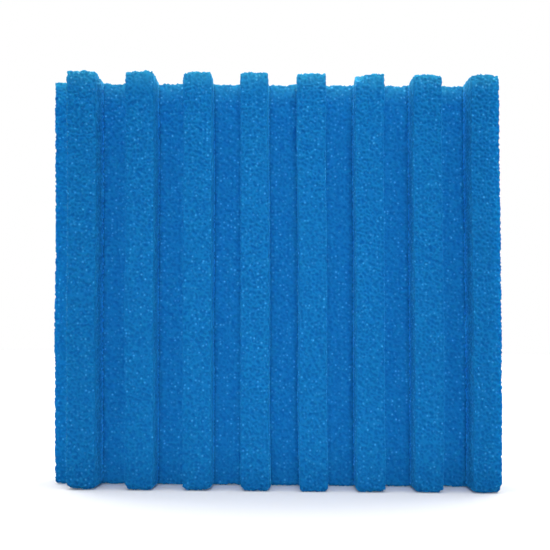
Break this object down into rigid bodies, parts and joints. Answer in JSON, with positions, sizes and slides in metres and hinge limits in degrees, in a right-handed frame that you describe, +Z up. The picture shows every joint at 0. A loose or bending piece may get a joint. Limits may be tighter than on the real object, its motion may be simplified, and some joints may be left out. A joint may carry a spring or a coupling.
{
  "type": "sponge filter",
  "caption": "Flat block of coarse blue filter foam, standing on a cut end, with a flat back and square-cut ribs and grooves that run the full height of its front.",
  "frame": {"origin": "centre of the block's footprint, on its bottom cut end", "axes": "+Z up, along the ribs; the ribs stand out towards -Y and the flat back faces +Y; the bare strip beside the first rib is at the -X side"},
  "size_m": [0.25, 0.045, 0.23],
  "materials": {
    "foam": "matte"
  },
  "bodies": {
    "root": {"backing_sheet": "foam", "rib_1": "foam", "rib_2": "foam", "rib_3": "foam", "rib_4": "foam", "rib_5": "foam", "rib_6": "foam", "rib_7": "foam", "rib_8": "foam"}
  },
  "joints": []
}
